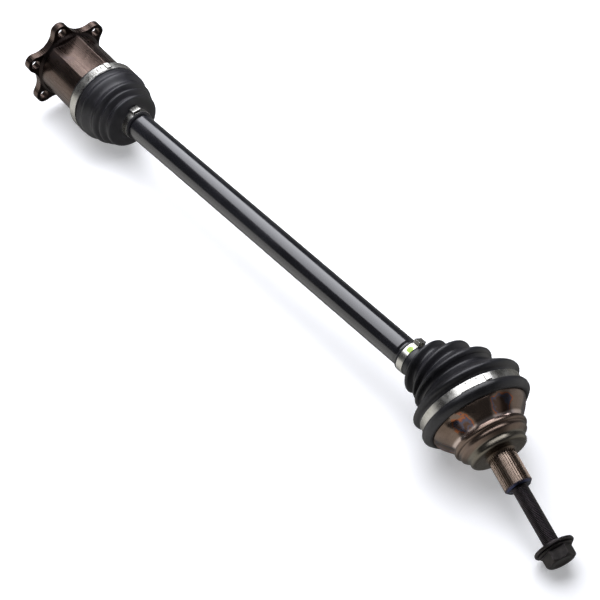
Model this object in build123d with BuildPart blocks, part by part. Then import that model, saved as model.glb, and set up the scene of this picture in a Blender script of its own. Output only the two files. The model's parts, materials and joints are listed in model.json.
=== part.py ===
from build123d import *
from math import atan2, cos, degrees, pi, radians, sin, sqrt, tan
import os

os.makedirs("parts", exist_ok=True)

# ---------------------------------------------------------------- whole axle
AXIS_HEIGHT = 55.5
JOINT_SPAN = 635.0
BALL_JOINT_X = 268.28
BALL_JOINT_Y = -2.66
INNER_BEND = 3.4
OUTER_BEND = 19.15
OUTER_BEND_AZIMUTH = -133.4
TRUNNION_AZIMUTH = -83.0
SLIP = 0.05

# ---------------------------------------------------------------- flange and tulip
FLANGE_T = 9.0
FLANGE_TO_JOINT = 50.0
BOLT_CIRCLE_R = 47.0
BOLT_COUNT = 6
BOLT_HOLE_R = 5.25
LOBE_TIP_R = 10.2
LOBE_CENTRE_R = 46.0
FLANGE_WAIST_R = 41.0
PILOT_R = 30.0
PILOT_DEPTH = 2.0
TULIP_R = 38.4
TULIP_LENGTH = 88.0
TULIP_ROOT_R = 2.4
FLUTE_R = 58.2
FLUTE_CENTRE_R = 90.7
WEB_BORE_R = 20.5
TRACK_HALF_W = 16.7
TRACK_REACH = 31.0
TRACK_CORNER_R = 2.0
CAVITY_FLOOR = -6.0
MOUTH_CONE_START = 66.0
MOUTH_R = 27.2
PLUG_R = 27.0
PLUG_T = 2.6

# ---------------------------------------------------------------- tripod
TRUNNION_COUNT = 3
TRUNNION_REACH = 24.0
TRUNNION_BALL_R = 9.25
TRUNNION_NECK_R = 6.4
TRUNNION_TIP = 5.4
TRUNNION_STEPS = [-5.4, -3.6, -1.8, 0.0, 1.8, 3.6]
SPIDER_SPHERE_R = 17.2
SPIDER_HALF_W = 9.0
SPIDER_SPLINE_R = 12.0
ROLLER_R = 16.6
ROLLER_HALF_W = 6.0
ROLLER_EDGE = 1.2
ROLLER_BORE_R = 13.9
SLEEVE_BORE_R = 9.95
SLEEVE_R = 11.8
NEEDLE_R = 1.0
NEEDLE_PITCH_R = 12.85
NEEDLE_HALF_L = 5.0
NEEDLE_COUNT = 30
RIB_T = 0.6
RIB_R = 12.6

# ---------------------------------------------------------------- shaft
SHAFT_R = 15.25
SHAFT_END_IN = -12.0
SHAFT_NECK_IN_R = 11.4
SHAFT_NECK_IN_END = 56.0
SHAFT_SEAT_R = 14.0
SHAFT_SEAT_IN = 76.0
SHAFT_PAINT_IN = 90.0
SHAFT_PAINT_OUT = -103.5
SHAFT_SEAT_OUT = -80.0
SHAFT_NECK_OUT_R = 12.9
SHAFT_SHOULDER_OUT = -13.0
RACE_SPLINE_R = 12.4
SHAFT_END_OUT = 16.5
SHAFT_CHAMFER = 1.2
RING_GROOVE_DEPTH = 1.2
RING_GROOVE_W = 1.8
RING_OUT = 1.2
RING_GAP_ANGLE = 50.0

# ---------------------------------------------------------------- ball joint
BALL_COUNT = 6
BALL_PHASE = 33.3
BALL_CIRCLE_R = 31.8
BALL_R = 8.89
BALL_SLIP = 0.1
TRACK_SWAY = 2.9
RACE_SPHERE_R = 29.8
RACE_HALF_W = 12.0
CAGE_INNER_R = 29.9
CAGE_OUTER_R = 35.2
CAGE_HALF_W = 14.6
WINDOW_HALF_W = 10.6
BELL_SPHERE_R = 35.3
BELL_MOUTH = -17.7
BELL_MOUTH_R = 45.0
BELL_THROAT = -8.0
BELL_TRACK_IN = 43.0
BELL_TRACK_OUT = 100.0
BELL_SEAT_R = 50.0
BELL_SHOULDERS = [
    (50.0, 5.0),
    (49.0, 6.5),
    (38.2, 22.3),
    (37.4, 23.6),
    (38.3, 24.4),
    (38.3, 28.0),
    (37.4, 29.0),
    (35.3, 29.4),
    (35.3, 33.6),
    (34.4, 34.6),
    (30.6, 37.6),
    (29.9, 38.6),
    (29.9, 43.4),
    (28.8, 44.8),
    (27.0, 45.6),
]
FLUTE_LOW = 1
FLUTE_HIGH = 2
BELL_FLUTE_COUNT = 6
BELL_FLUTE_R = 21.0
BELL_FLUTE_DEPTH = 3.6
BELL_FLUTE_START = 5.0
BELL_FLUTE_LENGTH = 24.0

# ---------------------------------------------------------------- stub and hub bolt
STUB_R = 14.3
STUB_ROOT_R = 13.2
STUB_START = 45.6
STUB_END = 83.6
STUB_CHAMFER = 2.6
SPLINE_TEETH = 36
SPLINE_SHARE = 0.5
SPLINE_RUNOUT = 48.6
SPLINE_GAP_START = 46.8
SPLINE_FLOOR_R = 13.4
SPLINE_GAP_TOP_R = 16.0
BOLT_R = 8.0
BOLT_SLIP = 0.08
BOLT_HOLE_END = 40.5
BOLT_TIP = 68.0
BOLT_TIP_CHAMFER = 1.2
WASHER_UNDER = 148.0
WASHER_T = 3.0
WASHER_R = 20.3
WASHER_EDGE = 0.8
WASHER_BORE_R = 8.6
BOLT_HEAD_FLANGE_R = 17.4
BOLT_HEAD_FLANGE_T = 2.2
HEX_ACROSS_FLATS = 27.0
HEX_END = 165.0
HEX_CHAMFER_R = 14.2

# ---------------------------------------------------------------- boots and clamps
BOOT_WALL = 2.6
ADAPTER_START = 67.0
ADAPTER_END = 87.0
ADAPTER_R = 40.4
INNER_BOOT_SEAT_R = 42.6
INNER_BOOT_EDGE = 68.0
INNER_BAND_START = 71.5
INNER_BAND_END = 82.0
INNER_BAND_R = 43.9
INNER_SEAT_END = 84.0
INNER_BELLOWS = [
    (86.0, 44.0, 0.0),
    (89.5, 41.8, 0.05),
    (94.5, 43.5, 0.15),
    (102.5, 37.8, 0.3),
    (109.5, 39.7, 0.4),
    (113.5, 33.4, 0.45),
    (117.5, 36.3, 0.5),
    (121.5, 29.8, 0.6),
    (126.0, 33.0, 0.7),
]
FACE_WALL = 1.8
INNER_NECK_START = 130.0
INNER_NECK_END = 139.5
NECK_R = 16.6
INNER_SMALL_BAND = (130.5, 137.5)
SMALL_BAND_R = 17.5
OUTER_SEAT_END = -18.0
OUTER_SEAT_R = 52.6
BEAD_R = 57.55
BEAD_SECTION = [(1.6, -6.4), (0.0, -4.6), (0.0, -1.6), (1.6, 1.0), (5.0, 4.2)]
OUTER_BAND = (-15.5, -6.8)
OUTER_BAND_R = 54.0
OUTER_BELLOWS = [
    (23.1, 7.9, 18.2, 57.1),
    (36.0, 10.4, 15.0, 39.0),
    (44.1, 11.8, 11.6, 44.2),
    (52.5, 11.0, 6.0, 32.2),
    (59.2, 9.5, 0.5, 37.0),
    (68.5, 6.4, -3.5, 24.8),
    (76.0, 3.0, -6.0, 29.8),
    (82.0, 0.6, -1.0, 17.8),
]
OUTER_NECK = (85.0, 101.0)
OUTER_SMALL_BAND = (-98.0, -90.5)
EAR_HALF_W = 5.0
EAR_H = 4.2
TAB_T = 1.0
TAB_HALF_ANGLE = 14.0
HOOK_HALF_ANGLE = 3.5
HOOK_T = 2.2
TAB_SLOT_COUNT = 3
TAB_SLOT_W = 2.2
TAB_SLOT_L = 5.2
TAB_SLOT_PITCH = 5.6
INNER_TAB_AZIMUTH = 100.0
OUTER_TAB_AZIMUTH = 103.0
HOOK_STEP = 18.0
SMALL_EAR_AZIMUTH = 92.0
SMALL_EAR_OUT_AZIMUTH = 60.0


def leaning(tilt, azimuth):
    """Direction leaning from +X by a tilt towards an azimuth counted from +Y to +Z."""
    side = sin(radians(tilt))
    return Vector(cos(radians(tilt)), side * cos(radians(azimuth)), side * sin(radians(azimuth)))


def across(azimuth):
    """Unit direction square to the shaft."""
    return Vector(0, cos(radians(azimuth)), sin(radians(azimuth)))


SHAFT_DIR = Vector(1, 0, 0)
BALL_JOINT = Vector(BALL_JOINT_X, BALL_JOINT_Y, AXIS_HEIGHT)
TRIPOD_JOINT = BALL_JOINT - SHAFT_DIR * JOINT_SPAN
QUARTER = 90.0
TRUNNION_DIR = across(TRUNNION_AZIMUTH)
TULIP_DIR = leaning(INNER_BEND, TRUNNION_AZIMUTH - QUARTER)
HINGE_DIR = across(OUTER_BEND_AZIMUTH + QUARTER)
CAGE_DIR = leaning(OUTER_BEND / 2, OUTER_BEND_AZIMUTH)
STUB_DIR = leaning(OUTER_BEND, OUTER_BEND_AZIMUTH)
BEND_SIDE = across(OUTER_BEND_AZIMUTH)

FLANGE_ORIGIN = TRIPOD_JOINT - TULIP_DIR * FLANGE_TO_JOINT
TULIP = Plane(origin=FLANGE_ORIGIN, x_dir=TRUNNION_DIR, z_dir=TULIP_DIR)
SPIDER = Plane(origin=TRIPOD_JOINT, x_dir=TRUNNION_DIR, z_dir=SHAFT_DIR)
SHAFT_OUT = Plane(origin=BALL_JOINT, x_dir=HINGE_DIR, z_dir=SHAFT_DIR)
CAGE = Plane(origin=BALL_JOINT, x_dir=HINGE_DIR, z_dir=CAGE_DIR)
BELL = Plane(origin=BALL_JOINT, x_dir=HINGE_DIR, z_dir=STUB_DIR)


def axis_of(frame):
    """Axis of symmetry of a frame."""
    return Axis(frame.origin, frame.z_dir)


def raised(frame, height):
    """The same frame moved along its own axis."""
    return Plane(origin=frame.origin + frame.z_dir * height, x_dir=frame.x_dir, z_dir=frame.z_dir)


def spun(frame, angle):
    """The same frame turned about its own axis."""
    x_dir = frame.x_dir.rotate(Axis((0, 0, 0), frame.z_dir), angle)
    return Plane(origin=frame.origin, x_dir=x_dir, z_dir=frame.z_dir)


def half_section(frame, points):
    """Closed outline of (radius, height) points in a plane through the frame's axis."""
    upright = Plane(origin=frame.origin, x_dir=frame.x_dir, z_dir=frame.x_dir.cross(frame.z_dir))
    with BuildSketch(upright) as section:
        with BuildLine():
            Polyline(*points, close=True)
        make_face()
    return section.sketch


def disc(frame, radius):
    """Filled circle on a frame."""
    with BuildSketch(frame) as section:
        Circle(radius)
    return section.sketch


def ring_section(frame, outer, inner):
    """Flat ring on a frame."""
    with BuildSketch(frame) as section:
        Circle(outer)
        Circle(inner, mode=Mode.SUBTRACT)
    return section.sketch


def block_section(frame, width, height, shift_x=0.0, shift_y=0.0):
    """Filled rectangle on a frame."""
    with BuildSketch(frame) as section:
        with Locations((shift_x, shift_y)):
            Rectangle(width, height)
    return section.sketch


def finish(name, label):
    """Label a sub-part and write its file."""
    name.part.label = label
    export_step(name.part, "parts/" + label + ".step")


def azimuth_frame(frame, azimuth):
    """Frame turned so that its x direction faces an azimuth counted round the shaft."""
    wanted = across(azimuth)
    x_dir = (wanted - frame.z_dir * wanted.dot(frame.z_dir)).normalized()
    return Plane(origin=frame.origin, x_dir=x_dir, z_dir=frame.z_dir)


# ================================================================ tulip housing
TURN = 360.0
TRUNNION_STEP = TURN / TRUNNION_COUNT
BOLT_STEP = TURN / BOLT_COUNT


def polar_point(radius, angle):
    """Point of a sketch at a radius and an angle in degrees."""
    return Vector(radius * cos(radians(angle)), radius * sin(radians(angle)))


def lobed_outline(frame):
    """Six lobes whose round tips run into the hollow waists between them on one smooth line."""
    half_step = BOLT_STEP / 2
    rise = FLANGE_WAIST_R - LOBE_TIP_R
    waist_centre_r = (LOBE_CENTRE_R**2 - rise**2) / (2 * (LOBE_CENTRE_R * cos(radians(half_step)) - rise))
    waist_line = polar_point(waist_centre_r, half_step) - polar_point(LOBE_CENTRE_R, 0)
    joint = polar_point(LOBE_CENTRE_R, 0) + waist_line.normalized() * LOBE_TIP_R
    joint_r = joint.length
    joint_angle = degrees(atan2(joint.Y, joint.X))
    with BuildSketch(frame) as section:
        with BuildLine():
            for index in range(BOLT_COUNT):
                lobe = index * BOLT_STEP
                ThreePointArc(
                    polar_point(joint_r, lobe - joint_angle),
                    polar_point(LOBE_CENTRE_R + LOBE_TIP_R, lobe),
                    polar_point(joint_r, lobe + joint_angle),
                )
                ThreePointArc(
                    polar_point(joint_r, lobe + joint_angle),
                    polar_point(FLANGE_WAIST_R, lobe + half_step),
                    polar_point(joint_r, lobe + BOLT_STEP - joint_angle),
                )
        make_face()
    return section.sketch


with BuildPart() as tulip_housing:
    flange_back = raised(TULIP, -FLANGE_T)
    extrude(lobed_outline(flange_back), amount=FLANGE_T)
    barrel = half_section(
        TULIP,
        [
            (0, -FLANGE_T),
            (TULIP_R + TULIP_ROOT_R, -FLANGE_T),
            (TULIP_R + TULIP_ROOT_R, 0),
            (TULIP_R, TULIP_ROOT_R),
            (TULIP_R, TULIP_LENGTH),
            (0, TULIP_LENGTH),
        ],
    )
    revolve(barrel, axis=axis_of(TULIP))
    with BuildSketch(raised(TULIP, TULIP_ROOT_R)) as flutes:
        with PolarLocations(FLUTE_CENTRE_R, TRUNNION_COUNT, start_angle=TRUNNION_STEP / 2):
            Circle(FLUTE_R)
    extrude(flutes.sketch, amount=TULIP_LENGTH, mode=Mode.SUBTRACT)
    with BuildSketch(raised(TULIP, CAVITY_FLOOR)) as tracks:
        Circle(WEB_BORE_R)
        with PolarLocations(TRACK_REACH / 2, TRUNNION_COUNT):
            RectangleRounded(TRACK_REACH, 2 * TRACK_HALF_W, TRACK_CORNER_R)
    extrude(tracks.sketch, amount=TULIP_LENGTH - CAVITY_FLOOR, mode=Mode.SUBTRACT)
    mouth = half_section(
        TULIP,
        [
            (0, MOUTH_CONE_START),
            (WEB_BORE_R, MOUTH_CONE_START),
            (MOUTH_R, TULIP_LENGTH),
            (0, TULIP_LENGTH),
        ],
    )
    revolve(mouth, axis=axis_of(TULIP), mode=Mode.SUBTRACT)
    extrude(disc(flange_back, PLUG_R), amount=FLANGE_T + CAVITY_FLOOR, mode=Mode.SUBTRACT)
    extrude(
        ring_section(flange_back, PILOT_R, PLUG_R), amount=PILOT_DEPTH, mode=Mode.SUBTRACT
    )
    with BuildSketch(flange_back) as flange_holes:
        with PolarLocations(BOLT_CIRCLE_R, BOLT_COUNT):
            Circle(BOLT_HOLE_R)
    extrude(flange_holes.sketch, amount=FLANGE_T, mode=Mode.SUBTRACT)
finish(tulip_housing, "tulip_housing")

with BuildPart() as tulip_end_plug:
    plug_face = raised(TULIP, -FLANGE_T + PILOT_DEPTH / 2)
    plug_depth = FLANGE_T + CAVITY_FLOOR - PILOT_DEPTH / 2
    extrude(disc(plug_face, PLUG_R), amount=plug_depth)
    extrude(
        disc(plug_face, PLUG_R - PLUG_T), amount=plug_depth - PLUG_T / 2, mode=Mode.SUBTRACT
    )
finish(tulip_end_plug, "tulip_end_plug")

with BuildPart() as boot_adapter:
    adapter_foot = raised(TULIP, ADAPTER_START)
    extrude(disc(adapter_foot, ADAPTER_R), amount=ADAPTER_END - ADAPTER_START)
    with BuildSketch(adapter_foot) as tulip_outside:
        Circle(TULIP_R)
        with PolarLocations(FLUTE_CENTRE_R, TRUNNION_COUNT, start_angle=TRUNNION_STEP / 2):
            Circle(FLUTE_R, mode=Mode.SUBTRACT)
    extrude(
        tulip_outside.sketch, amount=ADAPTER_END - ADAPTER_START, mode=Mode.SUBTRACT
    )
finish(boot_adapter, "boot_adapter")

# ================================================================ tripod
def roller_frame(number):
    """Frame of one roller: x along the tulip, z outwards along its trunnion."""
    angle = number * TRUNNION_STEP
    outward = spun(TULIP, angle).x_dir
    drift = -TRUNNION_REACH * sin(radians(angle)) * sin(radians(INNER_BEND))
    centre = TRIPOD_JOINT + TULIP_DIR * drift + outward * TRUNNION_REACH
    return Plane(origin=centre, x_dir=TULIP_DIR, z_dir=outward)


for number in range(TRUNNION_COUNT):
    frame = roller_frame(number)
    with BuildPart() as roller_ring:
        ring_outline = half_section(
            frame,
            [
                (ROLLER_BORE_R, -ROLLER_HALF_W),
                (ROLLER_R - ROLLER_EDGE, -ROLLER_HALF_W),
                (ROLLER_R, -ROLLER_HALF_W + ROLLER_EDGE),
                (ROLLER_R, ROLLER_HALF_W - ROLLER_EDGE),
                (ROLLER_R - ROLLER_EDGE, ROLLER_HALF_W),
                (ROLLER_BORE_R, ROLLER_HALF_W),
            ],
        )
        revolve(ring_outline, axis=axis_of(frame))
    finish(roller_ring, "roller_ring_" + str(number + 1))

    with BuildPart() as roller_sleeve:
        sleeve_outline = half_section(
            frame,
            [
                (SLEEVE_BORE_R, -ROLLER_HALF_W),
                (RIB_R, -ROLLER_HALF_W),
                (RIB_R, -ROLLER_HALF_W + RIB_T),
                (SLEEVE_R, -ROLLER_HALF_W + RIB_T),
                (SLEEVE_R, ROLLER_HALF_W - RIB_T),
                (RIB_R, ROLLER_HALF_W - RIB_T),
                (RIB_R, ROLLER_HALF_W),
                (SLEEVE_BORE_R, ROLLER_HALF_W),
            ],
        )
        revolve(sleeve_outline, axis=axis_of(frame))
    finish(roller_sleeve, "roller_sleeve_" + str(number + 1))

    with BuildPart() as needle_set:
        with BuildSketch(raised(frame, -NEEDLE_HALF_L)) as needle_ends:
            with PolarLocations(NEEDLE_PITCH_R, NEEDLE_COUNT):
                Circle(NEEDLE_R)
        extrude(needle_ends.sketch, amount=2 * NEEDLE_HALF_L)
    finish(needle_set, "needle_set_" + str(number + 1))

with BuildPart() as spider:
    hub_foot = raised(SPIDER, -SPIDER_HALF_W)
    extrude(disc(hub_foot, SPIDER_SPHERE_R), amount=2 * SPIDER_HALF_W)
    with Locations(SPIDER):
        Sphere(SPIDER_SPHERE_R, mode=Mode.INTERSECT)
    for number in range(TRUNNION_COUNT):
        outward = spun(SPIDER, number * TRUNNION_STEP).x_dir
        trunnion_root = Plane(origin=SPIDER.origin, x_dir=SHAFT_DIR, z_dir=outward)
        trunnion_ball = half_section(
            trunnion_root,
            [(0, SPIDER_SPHERE_R / 2), (TRUNNION_NECK_R, SPIDER_SPHERE_R / 2)]
            + [
                (
                    sqrt(TRUNNION_BALL_R**2 - reach**2),
                    TRUNNION_REACH + reach,
                )
                for reach in [
                    -sqrt(TRUNNION_BALL_R**2 - TRUNNION_NECK_R**2),
                    *TRUNNION_STEPS,
                    TRUNNION_TIP,
                ]
            ]
            + [(0, TRUNNION_REACH + TRUNNION_TIP)],
        )
        revolve(trunnion_ball, axis=axis_of(trunnion_root))
    extrude(disc(hub_foot, SPIDER_SPLINE_R), amount=2 * SPIDER_HALF_W, mode=Mode.SUBTRACT)
finish(spider, "spider")


def snap_ring(frame, groove_start, shaft_r):
    """Open snap ring sitting in its groove."""
    foot = raised(frame, groove_start + SLIP)
    with BuildSketch(foot) as section:
        Circle(shaft_r + RING_OUT)
        Circle(shaft_r - RING_GROOVE_DEPTH + SLIP, mode=Mode.SUBTRACT)
        with Locations((shaft_r, 0)):
            Rectangle(shaft_r, shaft_r * sin(radians(RING_GAP_ANGLE / 2)), mode=Mode.SUBTRACT)
    return section.sketch


SPIDER_GROOVE = -SPIDER_HALF_W - RING_GROOVE_W
RACE_GROOVE = RACE_HALF_W
with BuildPart() as spider_circlip:
    extrude(snap_ring(SPIDER, SPIDER_GROOVE, SPIDER_SPLINE_R), amount=RING_GROOVE_W - 2 * SLIP)
finish(spider_circlip, "spider_circlip")

with BuildPart() as race_circlip:
    extrude(snap_ring(SHAFT_OUT, RACE_GROOVE, RACE_SPLINE_R), amount=RING_GROOVE_W - 2 * SLIP)
finish(race_circlip, "race_circlip")

# ================================================================ shaft
with BuildPart() as shaft:
    shaft_outline = half_section(
        SPIDER,
        [
            (0, SHAFT_END_IN),
            (SPIDER_SPLINE_R - SHAFT_CHAMFER, SHAFT_END_IN),
            (SPIDER_SPLINE_R, SPIDER_GROOVE),
            (SPIDER_SPLINE_R - RING_GROOVE_DEPTH, SPIDER_GROOVE),
            (SPIDER_SPLINE_R - RING_GROOVE_DEPTH, -SPIDER_HALF_W),
            (SPIDER_SPLINE_R, -SPIDER_HALF_W),
            (SPIDER_SPLINE_R, SPIDER_HALF_W + SHAFT_CHAMFER),
            (SHAFT_NECK_IN_R, SPIDER_HALF_W + 2 * SHAFT_CHAMFER),
            (SHAFT_NECK_IN_R, SHAFT_NECK_IN_END),
            (SHAFT_SEAT_R, SHAFT_SEAT_IN),
            (SHAFT_SEAT_R, SHAFT_PAINT_IN),
            (SHAFT_R, SHAFT_PAINT_IN + 2 * SHAFT_CHAMFER),
            (SHAFT_R, JOINT_SPAN + SHAFT_PAINT_OUT - 2 * SHAFT_CHAMFER),
            (SHAFT_SEAT_R, JOINT_SPAN + SHAFT_PAINT_OUT),
            (SHAFT_SEAT_R, JOINT_SPAN + SHAFT_SEAT_OUT),
            (SHAFT_NECK_OUT_R, JOINT_SPAN + SHAFT_SEAT_OUT + SHAFT_CHAMFER),
            (SHAFT_NECK_OUT_R, JOINT_SPAN + SHAFT_SHOULDER_OUT),
            (RACE_SPLINE_R, JOINT_SPAN + SHAFT_SHOULDER_OUT + SHAFT_CHAMFER / 2),
            (RACE_SPLINE_R, JOINT_SPAN + RACE_GROOVE),
            (RACE_SPLINE_R - RING_GROOVE_DEPTH, JOINT_SPAN + RACE_GROOVE),
            (RACE_SPLINE_R - RING_GROOVE_DEPTH, JOINT_SPAN + RACE_GROOVE + RING_GROOVE_W),
            (RACE_SPLINE_R, JOINT_SPAN + RACE_GROOVE + RING_GROOVE_W),
            (RACE_SPLINE_R - SHAFT_CHAMFER, JOINT_SPAN + SHAFT_END_OUT),
            (0, JOINT_SPAN + SHAFT_END_OUT),
        ],
    )
    revolve(shaft_outline, axis=axis_of(SPIDER))
finish(shaft, "shaft")


# ================================================================ ball joint
def track_section(frame, angle):
    """Cross-section of one ball track, standing across the joint's centre plane."""
    turned = spun(frame, angle)
    with BuildSketch(turned) as section:
        with Locations((BALL_CIRCLE_R, 0)):
            SlotOverall(
                2 * (BALL_R + BALL_SLIP) + TRACK_SWAY, 2 * (BALL_R + BALL_SLIP), rotation=QUARTER
            )
    return section.sketch


def track_axis(frame, angle):
    """Cross axis that a ball track bends round."""
    turned = spun(frame, angle)
    return Axis(turned.origin, turned.y_dir)


BALL_STEP = TURN / BALL_COUNT
BALL_ANGLES = [BALL_PHASE + number * BALL_STEP for number in range(BALL_COUNT)]
INNER_TRACK_TURN = 55.0

with BuildPart() as inner_race:
    extrude(disc(raised(SHAFT_OUT, -RACE_HALF_W), RACE_SPHERE_R), amount=2 * RACE_HALF_W)
    with Locations(SHAFT_OUT):
        Sphere(RACE_SPHERE_R, mode=Mode.INTERSECT)
    for angle in BALL_ANGLES:
        section = track_section(SHAFT_OUT, angle)
        revolve(
            section,
            axis=track_axis(SHAFT_OUT, angle),
            revolution_arc=INNER_TRACK_TURN,
            mode=Mode.SUBTRACT,
        )
        revolve(
            section,
            axis=track_axis(SHAFT_OUT, angle),
            revolution_arc=-INNER_TRACK_TURN,
            mode=Mode.SUBTRACT,
        )
    extrude(
        disc(raised(SHAFT_OUT, -RACE_HALF_W), RACE_SPLINE_R),
        amount=2 * RACE_HALF_W,
        mode=Mode.SUBTRACT,
    )
finish(inner_race, "inner_race")

with BuildPart() as cage:
    extrude(disc(raised(CAGE, -CAGE_HALF_W), CAGE_OUTER_R), amount=2 * CAGE_HALF_W)
    with Locations(CAGE):
        Sphere(CAGE_OUTER_R, mode=Mode.INTERSECT)
        Sphere(CAGE_INNER_R, mode=Mode.SUBTRACT)
    for angle in BALL_ANGLES:
        outward = spun(CAGE, angle)
        window = Plane(origin=CAGE.origin, x_dir=outward.y_dir, z_dir=outward.x_dir)
        extrude(
            block_section(window, 2 * WINDOW_HALF_W, 2 * (BALL_R + BALL_SLIP)),
            amount=CAGE_OUTER_R,
            mode=Mode.SUBTRACT,
        )
finish(cage, "cage")

for number, angle in enumerate(BALL_ANGLES):
    ball_centre = CAGE.origin + spun(CAGE, angle).x_dir * BALL_CIRCLE_R
    with BuildPart() as ball:
        with Locations(Plane(origin=ball_centre, x_dir=CAGE.x_dir, z_dir=CAGE.z_dir)):
            Sphere(BALL_R)
    finish(ball, "ball_" + str(number + 1))

# ================================================================ bell housing and stub
BELL_OUTLINE = [
    (0, BELL_MOUTH),
    (BELL_SEAT_R, BELL_MOUTH),
    *BELL_SHOULDERS,
    (STUB_ROOT_R, STUB_START),
    (STUB_ROOT_R, SPLINE_RUNOUT),
    (STUB_R, SPLINE_RUNOUT + STUB_R - STUB_ROOT_R),
    (STUB_R, STUB_END - STUB_CHAMFER),
    (STUB_R - STUB_CHAMFER, STUB_END),
    (0, STUB_END),
]

with BuildPart() as bell_housing:
    revolve(half_section(BELL, BELL_OUTLINE), axis=axis_of(BELL))
    flute_foot = Vector(BELL_SHOULDERS[FLUTE_LOW])
    slope = (Vector(BELL_SHOULDERS[FLUTE_HIGH]) - flute_foot).normalized()
    for number in range(BELL_FLUTE_COUNT):
        side = spun(BELL, BALL_PHASE + BALL_STEP / 2 + number * BALL_STEP)
        along = side.x_dir * slope.X + side.z_dir * slope.Y
        out = side.x_dir * slope.Y - side.z_dir * slope.X
        reach = BELL_FLUTE_R - BELL_FLUTE_DEPTH
        surface = side.origin + side.x_dir * flute_foot.X + side.z_dir * flute_foot.Y
        start = surface + out * reach - along * BELL_FLUTE_START
        cutter = Plane(origin=start, x_dir=side.y_dir, z_dir=along)
        extrude(disc(cutter, BELL_FLUTE_R), amount=BELL_FLUTE_LENGTH, mode=Mode.SUBTRACT)
    with Locations(BELL):
        Sphere(BELL_SPHERE_R, mode=Mode.SUBTRACT)
    throat_r = sqrt(BELL_SPHERE_R**2 - BELL_THROAT**2)
    throat = half_section(
        BELL,
        [(0, BELL_THROAT), (throat_r, BELL_THROAT), (BELL_MOUTH_R, BELL_MOUTH), (0, BELL_MOUTH)],
    )
    revolve(throat, axis=axis_of(BELL), mode=Mode.SUBTRACT)
    for angle in BALL_ANGLES:
        section = track_section(BELL, angle)
        revolve(
            section,
            axis=track_axis(BELL, angle),
            revolution_arc=BELL_TRACK_OUT,
            mode=Mode.SUBTRACT,
        )
        revolve(
            section,
            axis=track_axis(BELL, angle),
            revolution_arc=-BELL_TRACK_IN,
            mode=Mode.SUBTRACT,
        )
    tooth_gap = 2 * pi * STUB_R / SPLINE_TEETH * SPLINE_SHARE
    gap_depth = SPLINE_GAP_TOP_R - SPLINE_FLOOR_R
    with BuildSketch(raised(BELL, SPLINE_GAP_START)) as gaps:
        with PolarLocations(SPLINE_FLOOR_R + gap_depth / 2, SPLINE_TEETH):
            Rectangle(gap_depth, tooth_gap)
    extrude(gaps.sketch, amount=STUB_END, mode=Mode.SUBTRACT)
    bolt_hole_length = STUB_END - BOLT_HOLE_END
    extrude(
        disc(raised(BELL, BOLT_HOLE_END), BOLT_R + BOLT_SLIP),
        amount=bolt_hole_length,
        mode=Mode.SUBTRACT,
    )
finish(bell_housing, "bell_housing")

with BuildPart() as hub_bolt:
    head_foot = WASHER_UNDER + WASHER_T
    bolt_outline = half_section(
        BELL,
        [
            (0, BOLT_TIP),
            (BOLT_R - BOLT_TIP_CHAMFER, BOLT_TIP),
            (BOLT_R, BOLT_TIP + BOLT_TIP_CHAMFER),
            (BOLT_R, head_foot),
            (BOLT_HEAD_FLANGE_R, head_foot),
            (BOLT_HEAD_FLANGE_R, head_foot + BOLT_HEAD_FLANGE_T / 2),
            (BOLT_HEAD_FLANGE_R - BOLT_TIP_CHAMFER, head_foot + BOLT_HEAD_FLANGE_T),
            (0, head_foot + BOLT_HEAD_FLANGE_T),
        ],
    )
    revolve(bolt_outline, axis=axis_of(BELL))
    with BuildSketch(raised(BELL, head_foot)) as hexagon:
        RegularPolygon(HEX_ACROSS_FLATS / 2, side_count=6, major_radius=False)
    extrude(hexagon.sketch, amount=HEX_END - head_foot)
    hex_corner_r = HEX_ACROSS_FLATS / 2 / cos(radians(BOLT_STEP / 2))
    head_trim = half_section(
        BELL,
        [
            (HEX_CHAMFER_R, HEX_END),
            (hex_corner_r + SLIP, HEX_END - (hex_corner_r - HEX_CHAMFER_R)),
            (hex_corner_r + SLIP, HEX_END),
        ],
    )
    revolve(head_trim, axis=axis_of(BELL), mode=Mode.SUBTRACT)
finish(hub_bolt, "hub_bolt")

with BuildPart() as hub_bolt_washer:
    washer_outline = half_section(
        BELL,
        [
            (WASHER_BORE_R, WASHER_UNDER),
            (WASHER_R - WASHER_EDGE / 2, WASHER_UNDER),
            (WASHER_R, WASHER_UNDER + WASHER_EDGE),
            (WASHER_R, WASHER_UNDER + WASHER_T - WASHER_EDGE - SLIP),
            (WASHER_R - WASHER_EDGE, WASHER_UNDER + WASHER_T - SLIP),
            (WASHER_BORE_R, WASHER_UNDER + WASHER_T - SLIP),
        ],
    )
    revolve(washer_outline, axis=axis_of(BELL))
finish(hub_bolt_washer, "hub_bolt_washer")


# ================================================================ boots
def inner_boot_rings(wall):
    """Frames and radii of the inner boot's folds, turning from tulip to shaft."""
    rings = []
    for height, radius, share in INNER_BELLOWS:
        back = height - FLANGE_TO_JOINT - wall * share
        direction = leaning(INNER_BEND * (1 - share), TRUNNION_AZIMUTH - QUARTER)
        on_tulip = TRIPOD_JOINT + TULIP_DIR * back
        on_shaft = TRIPOD_JOINT + SHAFT_DIR * back
        centre = on_tulip + (on_shaft - on_tulip) * share
        rings.append((Plane(origin=centre, x_dir=TRUNNION_DIR, z_dir=direction), radius))
    return rings


def outer_boot_rings():
    """Frames and radii of the outer boot's folds, turning from bell to shaft."""
    rings = []
    for back, offset, tilt, radius in OUTER_BELLOWS:
        centre = BALL_JOINT - SHAFT_DIR * back - BEND_SIDE * offset
        direction = leaning(tilt, OUTER_BEND_AZIMUTH)
        rings.append((Plane(origin=centre, x_dir=HINGE_DIR, z_dir=direction), radius))
    return rings


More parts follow.
